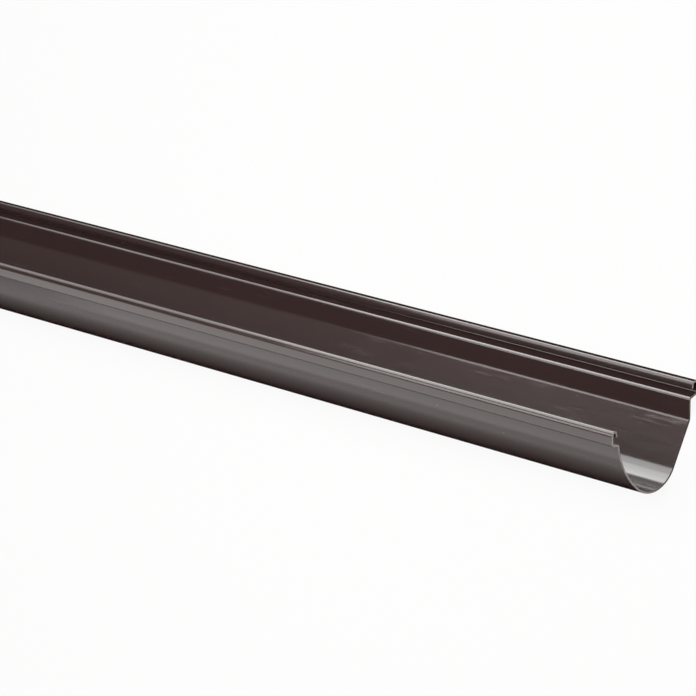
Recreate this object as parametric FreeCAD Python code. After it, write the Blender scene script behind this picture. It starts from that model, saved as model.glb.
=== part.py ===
"""A length of extruded plastic rain gutter, in millimetres.

The section is drawn as it hangs on a wall: Y runs from the front lip towards the wall, Z is up, and
(0, 0) is where the outer faces of the front lip and the front band meet. The finished length is then
rolled onto its back, which is how a loose length settles on a floor.
"""
import FreeCAD, Part
import math
import os

# Stock
length = 3000.0              # one sold length
wall = 2.2                   # plastic thickness, the same all round

# Trough, measured on its outside
trough_width = 124.8         # face of the front band to the upright back wall
trough_depth = 81.5          # top of the front lip to the lowest underside
lowest_point_in = 65.8       # lowest underside, behind the face of the front band
bottom_radius = 38.5
front_radius = 87.5          # the flatter curve of the front wall
front_wall_in = 10.3         # where that curve starts, behind the face of the front band
front_straight = 4.0         # straight stretch of front wall between the step and the curve
back_lean = 27.0             # degrees that the back slope leans away from upright
back_wall_height = 23.1      # upright back wall, from the knee to the ledge
knee_radius = 11.0           # bend between the back slope and the upright back wall

# Front edge
band_height = 16.7           # upright band below the front lip
step_tilt = 10.5             # degrees that the step falls towards the trough
front_curl_in = 4.6          # middle of the curl's top, behind the face of the front band
front_curl_height = 7.4      # top of the curl to the tip of its free edge
front_curl_radius = 0.9      # inside radius of the curl's top
front_curl_lean = 15.0       # degrees that the curl's free leg leans away from upright
front_shoulder_lean = 38.0   # degrees that the shoulder under the curl leans from upright
front_shoulder_radius = 8.8  # long bend from the shoulder to the band

# Back edge
ledge_width = 11.7           # upright back wall to the outer face of the riser
ledge_tilt = 20.5            # degrees that the ledge rises towards the riser
ledge_radius = 1.8           # inside radius of the bend from the back wall to the ledge
riser_height = 15.2          # corner under the ledge to the top of the back curl
riser_radius = 2.4           # inside radius of the bend from the ledge to the riser
back_curl_width = 10.0
back_curl_height = 8.6       # top of the curl to the tip of its free edge
back_curl_radius = 0.4       # inside radius of the curl's two corners
back_shoulder_in = 1.1       # shoulder's set-back at the top of the curl
back_shoulder_lean = 13.0    # degrees that it leans from upright
back_shoulder_radius = 18.0  # long bend from the shoulder to the free edge

fold_radius = 0.6            # inside radius of the two folds at the step

X_AXIS = FreeCAD.Vector(1, 0, 0)


def point(y, z):
    return FreeCAD.Vector(0, y, z)


def way(heading):
    """Direction at an angle from the +Y axis, in degrees."""
    angle = math.radians(heading)
    return point(math.cos(angle), math.sin(angle))


def heading_of(direction):
    return math.degrees(math.atan2(direction.z, direction.y))


def crossing(point_a, heading_a, point_b, heading_b):
    """Where two straight lines cross."""
    way_a, way_b = way(heading_a), way(heading_b)
    share = (point_b - point_a).cross(way_b).x / way_a.cross(way_b).x
    return point_a + way_a * share


def front_curve():
    """Start of the front wall's curve, where it meets the bottom's curve, and its heading at each."""
    bottom = point(lowest_point_in, bottom_radius - trough_depth)
    step_fall = front_wall_in * math.tan(math.radians(step_tilt))
    start = point(front_wall_in, -band_height - step_fall - front_straight)
    reach = bottom - start
    apart = front_radius - bottom_radius
    along = (front_radius ** 2 - apart ** 2 + reach.Length ** 2) / (2 * reach.Length)
    aside = math.sqrt(front_radius ** 2 - along ** 2)
    forward = reach / reach.Length
    centre = start + forward * along + X_AXIS.cross(forward) * aside
    meeting = bottom + (bottom - centre) * (bottom_radius / apart)
    start_heading = heading_of(X_AXIS.cross(start - centre))
    meeting_heading = heading_of(X_AXIS.cross(meeting - centre))
    return start, start_heading, meeting, meeting_heading


def straights():
    """The section from lip to back curl: each straight's outer face as a point and a heading, and
    the outer radius of the bend that follows it. The trough's inside is on the left all the way."""
    start, start_heading, meeting, meeting_heading = front_curve()
    bottom = point(lowest_point_in, bottom_radius - trough_depth)
    slope_heading = 90 - back_lean
    slope_start = bottom + way(slope_heading - 90) * bottom_radius
    knee = crossing(slope_start, slope_heading, point(trough_width, 0), 90)
    ledge_corner = knee + point(0, back_wall_height)
    riser_in = trough_width + ledge_width
    riser_foot = crossing(ledge_corner, ledge_tilt, point(riser_in, 0), 90)
    back_top = riser_foot.z + riser_height
    fold = fold_radius + wall
    front_bend = front_curl_radius + wall
    back_bend = back_curl_radius + wall
    front_centre = point(front_curl_in, -front_bend)
    front_shoulder = front_centre + way(180 - front_shoulder_lean) * front_bend
    curl_face_in = riser_in - back_curl_width
    return [
        (front_centre + way(front_curl_lean) * front_bend, 90 + front_curl_lean, front_bend),
        (front_shoulder, 270 - front_shoulder_lean, front_shoulder_radius),
        (point(0, -band_height), 270, fold),
        (point(0, -band_height), -step_tilt, fold_radius),
        (start, start_heading, front_radius),
        (meeting, meeting_heading, bottom_radius),
        (slope_start, slope_heading, knee_radius + wall),
        (ledge_corner, 90, ledge_radius),
        (ledge_corner, ledge_tilt, riser_radius + wall),
        (riser_foot, 90, back_bend),
        (point(riser_in, back_top), 180, back_bend),
        (point(curl_face_in + back_shoulder_in, back_top), 270 - back_shoulder_lean, back_shoulder_radius),
        (point(curl_face_in, back_top), 270, 0)]


def skin(depth, first, final):
    """Edges of one face of the wall, depth in from the outer face, between its two free ends."""
    edges = []
    last = first
    run = straights()
    for here, after in zip(run, run[1:]):
        turn = (after[1] - here[1] + 180) % 360 - 180
        left_in, left_out = way(here[1] + 90), way(after[1] + 90)
        corner = crossing(here[0] + left_in * depth, here[1], after[0] + left_out * depth, after[1])
        side = math.copysign(1, turn)
        radius = here[2] - side * depth
        back = radius * math.tan(math.radians(abs(turn)) / 2)
        bend_start = corner - way(here[1]) * back
        bend_end = corner + way(after[1]) * back
        centre = bend_start + left_in * side * radius
        middle = centre - way(here[1] + turn / 2 + 90) * side * radius
        if (bend_start - last).Length > wall / 1000:
            edges.append(Part.LineSegment(last, bend_start).toShape())
            last = bend_start
        edges.append(Part.Arc(last, middle, bend_end).toShape())
        last = bend_end
    edges.append(Part.LineSegment(last, final).toShape())
    return edges


def free_edge(straight, tip_height, forward):
    """Half-round free edge of an end straight: its outer corner, tip and inner corner. Forward is 1
    where the straight runs towards the edge, and -1 where it runs away from it."""
    place, heading, _ = straight
    across = way(heading + 90) * wall
    to_tip = across / 2 + way(heading) * (forward * wall / 2)
    rise = tip_height - to_tip.z - place.z
    outer = place + way(heading) * (rise / math.sin(math.radians(heading)))
    return outer, outer + to_tip, outer + across


def section_face():
    run = straights()
    lip = free_edge(run[0], -front_curl_height, -1)
    curl = free_edge(run[-1], run[-1][0].z - back_curl_height, 1)
    edges = skin(0, lip[0], curl[0]) + skin(wall, lip[2], curl[2])
    edges += [Part.Arc(*edge).toShape() for edge in (lip, curl)]
    return Part.Face(Part.Wire(Part.__sortEdges__(edges)))


def gutter():
    """The whole length, rolled so that its back slope lies on the floor."""
    stock = section_face().extrude(X_AXIS * length)
    stock.rotate(FreeCAD.Vector(0, 0, 0), X_AXIS, back_lean - 90)
    box = stock.BoundBox
    stock.translate(FreeCAD.Vector(-box.Center.x, -box.Center.y, -box.ZMin))
    return stock


os.makedirs("parts", exist_ok=True)
gutter().exportStep("parts/gutter.step")
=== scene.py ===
"""A loose length of brown plastic rain gutter, lying on a studio floor."""
import math
from typing import NamedTuple
import bpy
from bpy.props import FloatProperty, PointerProperty, StringProperty
from mathutils import Matrix, Vector


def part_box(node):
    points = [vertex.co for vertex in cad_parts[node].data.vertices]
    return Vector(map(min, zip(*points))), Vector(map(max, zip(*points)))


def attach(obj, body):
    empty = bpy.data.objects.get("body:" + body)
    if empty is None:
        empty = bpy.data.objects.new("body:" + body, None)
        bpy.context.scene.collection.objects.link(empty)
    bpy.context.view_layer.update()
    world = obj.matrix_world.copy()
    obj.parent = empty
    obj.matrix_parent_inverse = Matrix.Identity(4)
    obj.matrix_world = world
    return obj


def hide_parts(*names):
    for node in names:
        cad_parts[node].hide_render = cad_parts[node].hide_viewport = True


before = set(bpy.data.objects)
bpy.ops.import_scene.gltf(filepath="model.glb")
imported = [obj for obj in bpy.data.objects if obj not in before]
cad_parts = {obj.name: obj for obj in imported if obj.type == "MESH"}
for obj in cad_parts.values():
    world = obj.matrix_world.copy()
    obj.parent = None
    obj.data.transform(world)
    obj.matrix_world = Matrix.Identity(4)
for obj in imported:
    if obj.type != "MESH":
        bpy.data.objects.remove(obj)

bl_info = {
    "name": "Rain Gutter Length",
    "version": (1, 0, 0),
    "blender": (4, 5, 0),
    "location": "3D View > Sidebar > Gutter",
    "description": "Builds one extruded length of plastic rain gutter and a studio to show it in",
    "category": "Add Mesh",
}

MM = 0.001
CAD_LOW, CAD_HIGH = (Vector(corner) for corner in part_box("gutter"))
PVC_IOR = 1.52

# Patterns in the plastic, by the size of one mark.
DIE_LINE = 1.1 * MM
COOLING_WAVE = 45 * MM
TONE_PATCH = 220 * MM
SCUFF = 14 * MM
DUST_SPACING = 24 * MM
DRAWN_OUT = 0.02          # how a die line is stretched along the length, as a share across it
STRETCHED = 0.12          # the same, for a wave or a scuff
WAVE_HEIGHT = 0.4 * MM
LINE_HEIGHT = 0.05 * MM
SAW_MARK = 32 * MM        # one period of the saw's marks, as the wave texture counts it
SAWN_MOTTLE = 6 * MM
TOOTH_HEIGHT = 0.08 * MM
# Where the sawn ends are painted darker low down, towards the floor, and paler high up and over the back
# curl.
SAWN_DARK_BELOW = 2 * MM
SAWN_PALE_ABOVE = 38 * MM
BACK_CURL_FROM = 38 * MM
BACK_CURL_PALE = 60 * MM

# The room, by how far up a direction points: 0 is level and 1 is straight up.
BACKDROP_TOP = 0.3
CEILING_START = 0.55
FLOOR_GAP = 0.2 * MM      # the floor lies this far below the gutter


class Softbox(NamedTuple):
    """A softbox beside the gutter, in metres: its middle's place back from the near end, its angle
    up from the floor on the +Y side in degrees, how far off it stands, its size and its radiance,
    where 1 is white. It gives either the shine on the plastic or the light that shows its colour."""
    name: str
    along: float
    rise: float
    reach: float
    length: float
    height: float
    radiance: float
    shine: bool = True


SOFTBOXES = (
    Softbox("key softbox", along=1.35, rise=51, reach=1.6, length=1.5, height=1.85, radiance=3.2),
    Softbox("low key softbox", along=1.35, rise=38, reach=1.5, length=1.5, height=1.1, radiance=2.4),
    Softbox("long key softbox", along=2.0, rise=50, reach=1.75, length=2.4, height=2.02, radiance=3.0),
    Softbox("overhead strip", along=1.5, rise=102, reach=1.7, length=1.0, height=0.75, radiance=4.8),
    Softbox("front softbox", along=1.9, rise=140, reach=1.8, length=2.6, height=0.76, radiance=2.0),
    Softbox("low front softbox", along=1.7, rise=164, reach=1.85, length=2.4, height=0.75, radiance=0.85),
    Softbox("room softbox", along=0.4, rise=84, reach=1.8, length=2.2, height=1.6, radiance=3.2,
            shine=False),
)


def size(name, description, millimetres):
    """A length in metres, given in millimetres."""
    return FloatProperty(name=name, description=description, default=millimetres * MM,
                         min=0.0, subtype="DISTANCE", unit="LENGTH", precision=4)


def angle(name, description, degrees):
    return FloatProperty(name=name, description=description, default=math.radians(degrees),
                         subtype="ANGLE", unit="ROTATION")


def hex_colour(name, description, code):
    return StringProperty(name=name, description=description + ", as an sRGB hex value", default=code)


class GutterSettings(bpy.types.PropertyGroup):
    wall: size("Wall", "Thickness of the plastic", 2.2)
    trough_width: size("Trough width", "Front band to the upright back wall", 124.8)
    trough_depth: size("Trough depth", "Front lip to the lowest underside", 81.5)
    lowest_point_in: size("Lowest point", "Lowest underside, behind the front band", 65.8)
    bottom_radius: size("Bottom radius", "Outer radius of the trough's bottom", 38.5)
    front_radius: size("Front radius", "Outer radius of the front wall's curve", 87.5)
    front_wall_in: size("Front wall inset", "Start of the front curve, behind the band", 10.3)
    front_straight: size("Front straight", "Straight stretch below the step", 4.0)
    back_lean: angle("Back lean", "Lean of the back slope from upright", 27.0)
    back_wall_height: size("Back wall", "Upright back wall, from knee to ledge", 23.1)
    knee_radius: size("Knee radius", "Bend between the slope and the back wall", 11.0)
    band_height: size("Band height", "Upright band below the front lip", 16.7)
    step_tilt: angle("Step tilt", "Fall of the step towards the trough", 10.5)
    front_curl_in: size("Front curl", "Middle of the front curl's top, behind the band", 4.6)
    front_curl_height: size("Front curl height", "Front lip, down to its free edge", 7.4)
    front_curl_radius: size("Front curl radius", "Inside radius of the front curl's top", 0.9)
    front_curl_lean: angle("Front curl lean", "Lean of the front curl's free leg", 15.0)
    front_shoulder_lean: angle("Front shoulder lean", "Lean of the shoulder above the band", 38.0)
    front_shoulder_radius: size("Front shoulder radius", "Bend from the shoulder to the band", 8.8)
    ledge_width: size("Ledge width", "Back wall to the riser's outer face", 11.7)
    ledge_tilt: angle("Ledge tilt", "Rise of the ledge towards the riser", 20.5)
    ledge_radius: size("Ledge radius", "Inside radius of the bend to the ledge", 1.8)
    riser_height: size("Riser height", "Ledge to the top of the back curl", 15.2)
    riser_radius: size("Riser radius", "Inside radius of the bend to the riser", 2.4)
    back_curl_width: size("Back curl width", "Back curl, across its top", 10.0)
    back_curl_height: size("Back curl height", "Back curl, down to its free edge", 8.6)
    back_curl_radius: size("Back curl radius", "Inside radius of the back curl's corners", 0.4)
    back_shoulder_in: size("Back shoulder", "Set-back of the back curl's shoulder", 1.1)
    back_shoulder_lean: angle("Back shoulder lean", "Lean of the back curl's shoulder", 13.0)
    back_shoulder_radius: size("Back shoulder radius", "Bend from it to the free edge", 18.0)
    fold_radius: size("Fold radius", "Inside radius of the two folds at the step", 0.6)
    arc_step: angle("Arc step", "Turn of one flat on a bend", 4.0)
    plastic: hex_colour("Plastic", "Colour of the brown plastic", "#3b2c2a")
    plastic_pale: hex_colour("Pale plastic", "Colour where the surface is scuffed", "#6d605b")
    # The sawn ends are painted in two colours by place: the darker one low down towards the floor, the
    # paler one high up and over the back curl.
    sawn: hex_colour("Sawn face", "Colour of the sawn ends where the blade tore them pale", "#bbb3ae")
    sawn_dark: hex_colour("Rubbed sawn face", "Colour where the blade rubbed them smooth", "#5d5350")
    dust: hex_colour("Dust", "Colour of the dust specks", "#b9b0a6")


class StageSettings(bpy.types.PropertyGroup):
    view_turn: angle("View turn", "Camera's turn round the hung gutter, from its front", 46.04)
    view_rise: angle("View rise", "Camera's height above the hung gutter's level", 15.22)
    view_distance: FloatProperty(name="View distance", description="Camera to the point it looks at",
                                 default=4.582, subtype="DISTANCE", unit="LENGTH")
    aim_from_end: size("Aim from end", "Point looked at, back from the near end", 465.2)
    aim_behind_band: size("Aim behind band", "Point looked at, behind the front band", 62.2)
    aim_below_lip: size("Aim below lip", "Point looked at, below the front lip", 11.15)
    lens: FloatProperty(name="Lens", description="Focal length", default=206.9, subtype="DISTANCE_CAMERA")
    floor_size: FloatProperty(name="Floor size", description="Side of the floor", default=16.0,
                              subtype="DISTANCE", unit="LENGTH")
    floor: hex_colour("Floor", "Colour of the floor", "#f1f0ee")
    shade_start: size("Shade start", "Deepest shade beside the gutter, out from its side", 30)
    shade_end: size("Shade end", "Where that shade has gone, out from its side", 380)


def linear(code):
    """A linear RGBA colour from an sRGB hex value."""
    channels = [int(code[start:start + 2], 16) / 255 for start in (1, 3, 5)]
    return [c / 12.92 if c <= 0.04045 else ((c + 0.055) / 1.055) ** 2.4 for c in channels] + [1.0]


# ---- the section, as it hangs: x is behind the front band, y is above the front lip -------------

def way(heading):
    return Vector((math.cos(heading), math.sin(heading)))


def crossing(point_a, heading_a, point_b, heading_b):
    """Where two straight lines cross."""
    way_a, way_b = way(heading_a), way(heading_b)
    share = (point_b - point_a).cross(way_b) / way_a.cross(way_b)
    return point_a + way_a * share


def front_curve(g):
    """Where the front wall's curve starts and meets the bottom's curve, and its heading at each."""
    bottom = Vector((g.lowest_point_in, g.bottom_radius - g.trough_depth))
    step_fall = g.front_wall_in * math.tan(g.step_tilt)
    start = Vector((g.front_wall_in, -g.band_height - step_fall - g.front_straight))
    reach = bottom - start
    apart = g.front_radius - g.bottom_radius
    along = (g.front_radius ** 2 - apart ** 2 + reach.length_squared) / (2 * reach.length)
    aside = math.sqrt(g.front_radius ** 2 - along ** 2)
    forward = reach.normalized()
    centre = start + forward * along + forward.orthogonal() * aside
    meeting = bottom + (bottom - centre) * (g.bottom_radius / apart)
    headings = [math.atan2(*(spoke.orthogonal().yx)) for spoke in (start - centre, meeting - centre)]
    return start, headings[0], meeting, headings[1]


def straights(g):
    """Outer face of each straight, from lip to back curl: a point, its heading, the next bend."""
    start, start_heading, meeting, meeting_heading = front_curve(g)
    bottom = Vector((g.lowest_point_in, g.bottom_radius - g.trough_depth))
    up, down = math.pi / 2, -math.pi / 2
    slope = up - g.back_lean
    slope_start = bottom + way(slope + down) * g.bottom_radius
    knee = crossing(slope_start, slope, Vector((g.trough_width, 0)), up)
    ledge_corner = knee + Vector((0, g.back_wall_height))
    riser_in = g.trough_width + g.ledge_width
    riser_foot = crossing(ledge_corner, g.ledge_tilt, Vector((riser_in, 0)), up)
    back_top = riser_foot.y + g.riser_height
    fold = g.fold_radius + g.wall
    front_bend = g.front_curl_radius + g.wall
    back_bend = g.back_curl_radius + g.wall
    front_centre = Vector((g.front_curl_in, -front_bend))
    front_shoulder = front_centre + way(math.pi - g.front_shoulder_lean) * front_bend
    face_in = riser_in - g.back_curl_width
    return [
        (front_centre + way(g.front_curl_lean) * front_bend, up + g.front_curl_lean, front_bend),
        (front_shoulder, down - g.front_shoulder_lean, g.front_shoulder_radius),
        (Vector((0, -g.band_height)), down, fold),
        (Vector((0, -g.band_height)), -g.step_tilt, g.fold_radius),
        (start, start_heading, g.front_radius),
        (meeting, meeting_heading, g.bottom_radius),
        (slope_start, slope, g.knee_radius + g.wall),
        (ledge_corner, up, g.ledge_radius),
        (ledge_corner, g.ledge_tilt, g.riser_radius + g.wall),
        (riser_foot, up, back_bend),
        (Vector((riser_in, back_top)), math.pi, back_bend),
        (Vector((face_in + g.back_shoulder_in, back_top)), down - g.back_shoulder_lean,
         g.back_shoulder_radius),
        (Vector((face_in, back_top)), down, 0)]


def skin(g, depth):
    """Points of one face of the wall, depth in from its outer face, between the free edges."""
    points = []
    run = straights(g)
    for here, after in zip(run, run[1:]):
        turn = (after[1] - here[1] + math.pi) % (2 * math.pi) - math.pi
        side = math.copysign(1, turn)
        left_in = way(here[1] + math.pi / 2)
        left_out = way(after[1] + math.pi / 2)
        corner = crossing(here[0] + left_in * depth, here[1], after[0] + left_out * depth, after[1])
        radius = here[2] - side * depth
        bend_start = corner - way(here[1]) * radius * math.tan(abs(turn) / 2)
        centre = bend_start + left_in * side * radius
        steps = max(2, math.ceil(abs(turn) / g.arc_step))
        for step in range(steps + 1):
            spoke = way(here[1] + turn * step / steps + math.pi / 2)
            place = centre - spoke * side * radius
            if not points or (place - points[-1]).length > g.wall / 1000:
                points.append(place)
    return points


def free_edge(g, straight, tip_height, forward, steps=8):
    """Half-round points over an end straight's free edge, from its outer corner to its inner one.
    Forward is 1 where the straight runs towards the edge, and -1 where it runs away from it."""
    place, heading, _ = straight
    along = way(heading)
    across = way(heading + math.pi / 2) * (g.wall / 2)
    onward = along * (forward * g.wall / 2)
    rise = tip_height - (across + onward).y - place.y
    middle = place + along * (rise / math.sin(heading)) + across
    turns = [math.pi * step / steps for step in range(steps + 1)]
    return [middle - across * math.cos(turn) + onward * math.sin(turn) for turn in turns]


def section_points(g):
    """The whole outline of the section, once round."""
    run = straights(g)
    lip = free_edge(g, run[0], -g.front_curl_height, -1)
    curl = free_edge(g, run[-1], run[-1][0].y - g.back_curl_height, 1)
    return skin(g, 0) + curl + skin(g, g.wall)[::-1] + lip[::-1]


def lay_down(g, points):
    """The turn that lays the hung section on its back slope, and the shift that sets it in place."""
    roll = Matrix.Rotation(g.back_lean - math.pi / 2, 2)
    turned = [roll @ point for point in points]
    middle = (min(p.x for p in turned) + max(p.x for p in turned)) / 2
    return roll, Vector((-middle, CAD_LOW.z - min(p.y for p in turned)))


def laid_place(g, from_end, behind_band, above_lip):
    """A place in the frame, given as on the hung gutter: from the near end, band and lip."""
    roll, shift = lay_down(g, section_points(g))
    yz = roll @ Vector((behind_band, above_lip)) + shift
    return Vector((CAD_HIGH.x - from_end, yz.x, yz.y))


def laid_direction(g, along, behind, above):
    """A direction in the frame, given as on the hung gutter."""
    yz = Matrix.Rotation(g.back_lean - math.pi / 2, 2) @ Vector((behind, above))
    return Vector((along, yz.x, yz.y))


# ---- materials ----------------------------------------------------------------------------------

def add_node(tree, kind, settings=None, **links):
    """One node with its settings; links are socket names, with _ for a space, to values or sockets."""
    node = tree.nodes.new(kind)
    for name, value in (settings or {}).items():
        setattr(node, name, value)
    for name, value in links.items():
        socket = node.inputs[int(name[1:])] if name[1:].isdigit() else node.inputs[name.replace("_", " ")]
        if isinstance(value, bpy.types.NodeSocket):
            tree.links.new(value, socket)
        else:
            socket.default_value = value
    return node


def new_material(name):
    material = bpy.data.materials.new(name)
    material.use_nodes = True
    material.node_tree.nodes.clear()
    return material, material.node_tree


def plastic_material(g):
    """Rigid PVC, brown right through, as it comes from the extruder's die.

    The die leaves a satin skin with hair-fine lines along the length, and cooling leaves shallow
    waves, so long reflections waver a little. Handling adds faint scuffs and a few dust specks."""
    material, tree = new_material("Brown rigid PVC, extruded satin")
    place = add_node(tree, "ShaderNodeTexCoord").outputs["Object"]
    drawn_out = add_node(tree, "ShaderNodeMapping", Vector=place, Scale=(DRAWN_OUT, 1, 1)).outputs[0]
    stretched = add_node(tree, "ShaderNodeMapping", Vector=place, Scale=(STRETCHED, 1, 1)).outputs[0]

    lines = add_node(tree, "ShaderNodeTexNoise", Vector=drawn_out, Scale=1 / DIE_LINE, Detail=3.0)
    waves = add_node(tree, "ShaderNodeTexNoise", Vector=stretched, Scale=1 / COOLING_WAVE, Detail=1.0)
    tone = add_node(tree, "ShaderNodeTexNoise", Vector=place, Scale=1 / TONE_PATCH, Detail=2.0)
    scuffs = add_node(tree, "ShaderNodeTexNoise", Vector=stretched, Scale=1 / SCUFF, Detail=8.0,
                      Roughness=0.72)
    scuff_mask = add_node(tree, "ShaderNodeMapRange", Value=scuffs.outputs["Fac"], From_Min=0.58,
                          From_Max=0.86, To_Max=0.5)
    grit = add_node(tree, "ShaderNodeTexVoronoi", Vector=place, Scale=1 / DUST_SPACING)
    specks = add_node(tree, "ShaderNodeMapRange", Value=grit.outputs["Distance"], From_Min=0.028,
                      From_Max=0.012, To_Max=0.75)

    toned = add_node(tree, "ShaderNodeMix", {"data_type": "RGBA"}, Factor=tone.outputs["Fac"],
                     _6=linear(g.plastic), _7=[c * 1.22 for c in linear(g.plastic)[:3]] + [1])
    scuffed = add_node(tree, "ShaderNodeMix", {"data_type": "RGBA"}, Factor=scuff_mask.outputs[0],
                       _6=toned.outputs[2], _7=linear(g.plastic_pale))
    dusty = add_node(tree, "ShaderNodeMix", {"data_type": "RGBA"}, Factor=specks.outputs[0],
                     _6=scuffed.outputs[2], _7=linear(g.dust))
    gloss = add_node(tree, "ShaderNodeMapRange", Value=lines.outputs["Fac"], From_Min=0.3, From_Max=0.7,
                     To_Min=0.12, To_Max=0.17)
    dulled = add_node(tree, "ShaderNodeMath", {"operation": "MULTIPLY_ADD"}, _0=scuff_mask.outputs[0],
                      _1=0.3, _2=gloss.outputs[0])
    wavy = add_node(tree, "ShaderNodeBump", Strength=0.25, Distance=WAVE_HEIGHT,
                    Height=waves.outputs["Fac"])
    lined = add_node(tree, "ShaderNodeBump", Strength=0.08, Distance=LINE_HEIGHT,
                     Height=lines.outputs["Fac"], Normal=wavy.outputs[0])
    shader = add_node(tree, "ShaderNodeBsdfPrincipled", Base_Color=dusty.outputs[2],
                      Roughness=dulled.outputs[0], IOR=PVC_IOR, Normal=lined.outputs[0])
    add_node(tree, "ShaderNodeOutputMaterial", Surface=shader.outputs[0])
    return material


def sawn_material(g):
    """The same PVC where a saw went through: dull, with the teeth's lines across it. Its colour is
    painted darker low down towards the floor, and paler high up and over the back curl."""
    material, tree = new_material("Brown rigid PVC, sawn")
    place = add_node(tree, "ShaderNodeTexCoord").outputs["Object"]
    tooth = add_node(tree, "ShaderNodeTexWave", {"bands_direction": "DIAGONAL"}, Vector=place,
                     Scale=1 / SAW_MARK, Distortion=3.0, Detail=3.0)
    mottle = add_node(tree, "ShaderNodeTexNoise", Vector=place, Scale=1 / SAWN_MOTTLE, Detail=4.0)
    split = add_node(tree, "ShaderNodeSeparateXYZ", Vector=place)
    high = add_node(tree, "ShaderNodeMapRange", Value=split.outputs["Z"], From_Min=SAWN_DARK_BELOW,
                    From_Max=SAWN_PALE_ABOVE)
    behind = add_node(tree, "ShaderNodeMapRange", Value=split.outputs["Y"], From_Min=BACK_CURL_FROM,
                      From_Max=BACK_CURL_PALE)
    # Share painted pale: high up or over the back curl; below, the cut face is painted darker towards the
    # floor.
    lightened = add_node(tree, "ShaderNodeMath", {"operation": "MAXIMUM"}, _0=high.outputs[0],
                    _1=behind.outputs[0])
    mottled = add_node(tree, "ShaderNodeMapRange", Value=mottle.outputs["Fac"], From_Min=0.3,
                       From_Max=0.7, To_Min=0.75, To_Max=1.0)
    pale = add_node(tree, "ShaderNodeMath", {"operation": "MULTIPLY"}, _0=lightened.outputs[0],
                    _1=mottled.outputs[0])
    colour = add_node(tree, "ShaderNodeMix", {"data_type": "RGBA"}, Factor=pale.outputs[0],
                      _6=linear(g.sawn_dark), _7=linear(g.sawn))
    rough = add_node(tree, "ShaderNodeBump", Strength=0.4, Distance=TOOTH_HEIGHT,
                     Height=tooth.outputs["Fac"])
    shader = add_node(tree, "ShaderNodeBsdfPrincipled", Base_Color=colour.outputs[2], Roughness=0.62,
                      IOR=PVC_IOR, Normal=rough.outputs[0])
    add_node(tree, "ShaderNodeOutputMaterial", Surface=shader.outputs[0])
    return material


def white_to_eye(tree, shader, share, mirrored):
    """Mixes plain white light into a shader: a share of it for camera rays, while mirrored and
    refracted rays see nothing else, at a strength of their own."""
    path = add_node(tree, "ShaderNodeLightPath")
    bounced = add_node(tree, "ShaderNodeMath", {"operation": "MAXIMUM"}, _0=path.outputs["Is Glossy Ray"],
                       _1=path.outputs["Is Transmission Ray"])
    amount = add_node(tree, "ShaderNodeMath", {"operation": "MULTIPLY_ADD"},
                      _0=path.outputs["Is Camera Ray"], _1=share, _2=bounced.outputs[0])
    strength = add_node(tree, "ShaderNodeMix", Factor=path.outputs["Is Camera Ray"], A=mirrored, B=1.0)
    white = add_node(tree, "ShaderNodeEmission", Color=(1, 1, 1, 1), Strength=strength.outputs[0])
    return add_node(tree, "ShaderNodeMixShader", _0=amount.outputs[0], _1=shader, _2=white.outputs[0])


def floor_material(s):
    """White studio floor: matt paper, which reads as white and still holds a faint shadow. Mirrored
    in the plastic it is white too, but a set shade, black beside the gutter and gone farther off,
    stands in for the gutter's own."""
    material, tree = new_material("White studio floor")
    matt = add_node(tree, "ShaderNodeBsdfDiffuse", Color=linear(s.floor))
    place = add_node(tree, "ShaderNodeTexCoord").outputs["Object"]
    across = add_node(tree, "ShaderNodeSeparateXYZ", Vector=place).outputs["Y"]
    away = add_node(tree, "ShaderNodeMath", {"operation": "ABSOLUTE"}, _0=across)
    open_floor = add_node(tree, "ShaderNodeMapRange", Value=away.outputs[0],
                          From_Min=CAD_HIGH.y + s.shade_start, From_Max=CAD_HIGH.y + s.shade_end)
    mixed = white_to_eye(tree, matt.outputs[0], share=0.92, mirrored=open_floor.outputs[0])
    add_node(tree, "ShaderNodeOutputMaterial", Surface=mixed.outputs[0])
    return material


# ---- the gutter ---------------------------------------------------------------------------------

def extrusion_tree(plastic, sawn):
    """Draws a closed section out along X, and gives its two cut ends their own material."""
    tree = bpy.data.node_groups.new("Draw out a section", "GeometryNodeTree")
    tree.interface.new_socket("Section", in_out="INPUT", socket_type="NodeSocketGeometry")
    low = tree.interface.new_socket("Low end", in_out="INPUT", socket_type="NodeSocketFloat")
    high = tree.interface.new_socket("High end", in_out="INPUT", socket_type="NodeSocketFloat")
    tree.interface.new_socket("Gutter", in_out="OUTPUT", socket_type="NodeSocketGeometry")
    given = add_node(tree, "NodeGroupInput")
    low_place = add_node(tree, "ShaderNodeCombineXYZ", X=given.outputs["Low end"])
    high_place = add_node(tree, "ShaderNodeCombineXYZ", X=given.outputs["High end"])
    line = add_node(tree, "GeometryNodeCurvePrimitiveLine", Start=low_place.outputs[0],
                    End=high_place.outputs[0])
    drawn = add_node(tree, "GeometryNodeCurveToMesh", Curve=line.outputs[0],
                     Profile_Curve=given.outputs["Section"], Fill_Caps=True)
    normal = add_node(tree, "GeometryNodeInputNormal")
    across = add_node(tree, "ShaderNodeSeparateXYZ", Vector=normal.outputs[0])
    facing = add_node(tree, "ShaderNodeMath", {"operation": "ABSOLUTE"}, _0=across.outputs["X"])
    is_end = add_node(tree, "FunctionNodeCompare", {"operation": "GREATER_THAN"}, _0=facing.outputs[0],
                      _1=0.7)
    whole = add_node(tree, "GeometryNodeRealizeInstances", Geometry=drawn.outputs[0])
    sides = add_node(tree, "GeometryNodeSetMaterial", Geometry=whole.outputs[0], Material=plastic)
    ends = add_node(tree, "GeometryNodeSetMaterial", Geometry=sides.outputs[0],
                    Selection=is_end.outputs[0], Material=sawn)
    add_node(tree, "NodeGroupOutput", Gutter=ends.outputs[0])
    return tree, low.identifier, high.identifier


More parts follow.
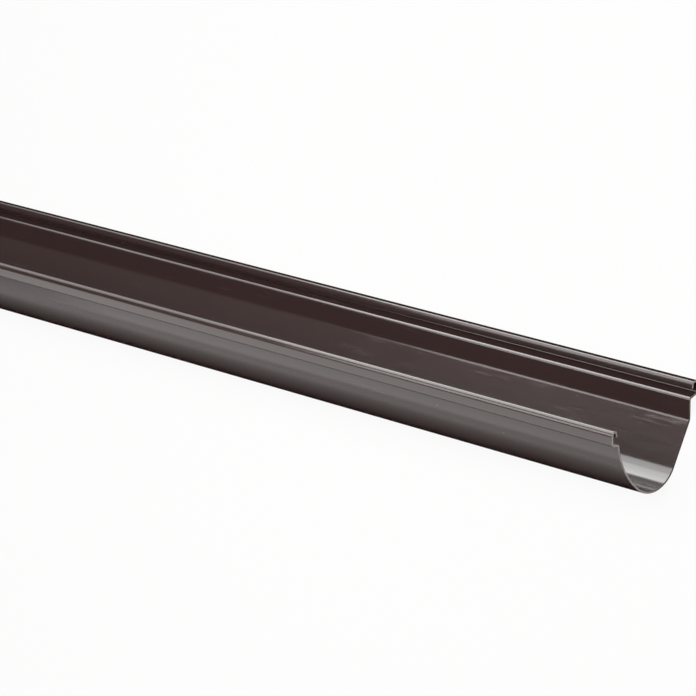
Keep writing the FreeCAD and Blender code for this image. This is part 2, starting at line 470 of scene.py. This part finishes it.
def section_curve(g):
    """The section as a closed curve, laid down on its back slope. The CAD mesh's flats lie a hair
    inside its true curves, so the outermost points are held at its box."""
    points = section_points(g)
    roll, shift = lay_down(g, points)
    curve = bpy.data.curves.new("gutter section", "CURVE")
    curve.dimensions = "3D"
    spline = curve.splines.new("POLY")
    spline.points.add(len(points) - 1)
    for corner, point in zip(spline.points, points):
        laid = roll @ point + shift
        y = min(max(laid.x, CAD_LOW.y), CAD_HIGH.y)
        z = min(max(laid.y, CAD_LOW.z), CAD_HIGH.z)
        corner.co = (-y, -z, 0, 1)
    spline.use_cyclic_u = True
    return curve


def baked(source, name):
    """A plain mesh object at the origin, from an object with live modifiers, which is removed."""
    bpy.context.view_layer.update()
    evaluated = source.evaluated_get(bpy.context.evaluated_depsgraph_get())
    mesh = bpy.data.meshes.new_from_object(evaluated)
    mesh.name = name
    piece = bpy.data.objects.new(name, mesh)
    bpy.context.collection.objects.link(piece)
    bpy.data.objects.remove(source)
    return piece


class GUTTER_OT_add_gutter(bpy.types.Operator):
    """Add the extruded length of gutter, with its two sawn ends"""
    bl_idname = "gutter.add_gutter"
    bl_label = "Add Gutter Length"

    def execute(self, context):
        g = context.scene.gutter_settings
        tree, low, high = extrusion_tree(plastic_material(g), sawn_material(g))
        source = bpy.data.objects.new("gutter source", section_curve(g))
        context.collection.objects.link(source)
        drawing = source.modifiers.new("Draw out", "NODES")
        drawing.node_group = tree
        drawing[low] = CAD_LOW.x
        drawing[high] = CAD_HIGH.x
        piece = baked(source, "gutter_length")
        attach(piece, "root")
        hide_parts("gutter")
        return {"FINISHED"}


# ---- the stage ----------------------------------------------------------------------------------

def aim(thing, place, target, up):
    """Puts a camera or lamp at a place, looking at a target, with its own upright along up."""
    back = (place - target).normalized()
    right = up.cross(back).normalized()
    turn = Matrix((right, back.cross(right), back)).transposed()
    thing.matrix_world = Matrix.Translation(place) @ turn.to_4x4()


def add_softbox(context, softbox):
    lamp = bpy.data.lights.new(softbox.name, "AREA")
    lamp.shape = "RECTANGLE"
    lamp.size, lamp.size_y = softbox.length, softbox.height
    lamp.energy = softbox.radiance * math.pi * softbox.length * softbox.height
    box = bpy.data.objects.new(softbox.name, lamp)
    context.collection.objects.link(box)
    box.visible_diffuse = not softbox.shine
    box.visible_glossy = softbox.shine
    rise = math.radians(softbox.rise)
    target = Vector((CAD_HIGH.x - softbox.along, 0, 0))
    out = Vector((0, math.cos(rise), math.sin(rise)))
    aim(box, target + out * softbox.reach, target, out.cross(Vector((1, 0, 0))))


def add_world(context):
    """A white backdrop all round, below a dim ceiling, and grey light for matt surfaces."""
    world = bpy.data.worlds.new("Pale studio")
    world.use_nodes = True
    tree = world.node_tree
    tree.nodes.clear()
    look = add_node(tree, "ShaderNodeTexCoord").outputs["Generated"]
    height = add_node(tree, "ShaderNodeSeparateXYZ", Vector=look).outputs["Z"]
    ceiling = add_node(tree, "ShaderNodeMapRange", Value=height, From_Min=BACKDROP_TOP,
                       From_Max=CEILING_START, To_Min=0.4, To_Max=0.15)
    room = add_node(tree, "ShaderNodeBackground", Color=(1, 1, 1, 1), Strength=ceiling.outputs[0])
    backdrop = add_node(tree, "ShaderNodeMapRange", Value=height, From_Min=BACKDROP_TOP,
                        From_Max=CEILING_START, To_Min=1.0, To_Max=0.12)
    mixed = white_to_eye(tree, room.outputs[0], share=1.0, mirrored=backdrop.outputs[0])
    add_node(tree, "ShaderNodeOutputWorld", Surface=mixed.outputs[0])
    context.scene.world = world


class GUTTER_OT_add_stage(bpy.types.Operator):
    """Add the floor, the softboxes, the room light and the camera"""
    bl_idname = "gutter.add_stage"
    bl_label = "Add Studio"

    def execute(self, context):
        g, s = context.scene.gutter_settings, context.scene.gutter_stage
        half = s.floor_size / 2
        mesh = bpy.data.meshes.new("studio_floor")
        below = CAD_LOW.z - FLOOR_GAP
        mesh.from_pydata([(-half, -half, below), (half, -half, below), (half, half, below),
                          (-half, half, below)], [], [(0, 1, 2, 3)])
        mesh.materials.append(floor_material(s))
        floor = bpy.data.objects.new("studio_floor", mesh)
        context.collection.objects.link(floor)

        add_world(context)
        for softbox in SOFTBOXES:
            add_softbox(context, softbox)

        camera_data = bpy.data.cameras.new("camera")
        camera_data.lens = s.lens
        camera = bpy.data.objects.new("camera", camera_data)
        context.collection.objects.link(camera)
        level = math.cos(s.view_rise)
        back = laid_direction(g, math.sin(s.view_turn) * level, -math.cos(s.view_turn) * level,
                              math.sin(s.view_rise))
        target = laid_place(g, s.aim_from_end, s.aim_behind_band, -s.aim_below_lip)
        aim(camera, target + back * s.view_distance, target, laid_direction(g, 0, 0, 1))
        camera_data.clip_end = 4 * s.floor_size
        context.scene.camera = camera
        context.scene.view_settings.view_transform = "Standard"
        return {"FINISHED"}


class GUTTER_PT_panel(bpy.types.Panel):
    """Sizes, colours and steps of the gutter scene"""
    bl_idname = "GUTTER_PT_panel"
    bl_label = "Rain Gutter"
    bl_space_type = "VIEW_3D"
    bl_region_type = "UI"
    bl_category = "Gutter"

    def draw(self, context):
        for settings in (context.scene.gutter_settings, context.scene.gutter_stage):
            for name in settings.__annotations__:
                self.layout.prop(settings, name)
        for operator in (GUTTER_OT_add_gutter, GUTTER_OT_add_stage):
            self.layout.operator(operator.bl_idname)


CLASSES = (GutterSettings, StageSettings, GUTTER_OT_add_gutter, GUTTER_OT_add_stage, GUTTER_PT_panel)


def register():
    for cls in CLASSES:
        bpy.utils.register_class(cls)
    bpy.types.Scene.gutter_settings = PointerProperty(type=GutterSettings)
    bpy.types.Scene.gutter_stage = PointerProperty(type=StageSettings)


def unregister():
    del bpy.types.Scene.gutter_stage
    del bpy.types.Scene.gutter_settings
    for cls in reversed(CLASSES):
        bpy.utils.unregister_class(cls)


def main():
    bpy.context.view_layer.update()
    register()
    bpy.ops.gutter.add_gutter()
    bpy.ops.gutter.add_stage()


if __name__ == "__main__":
    main()
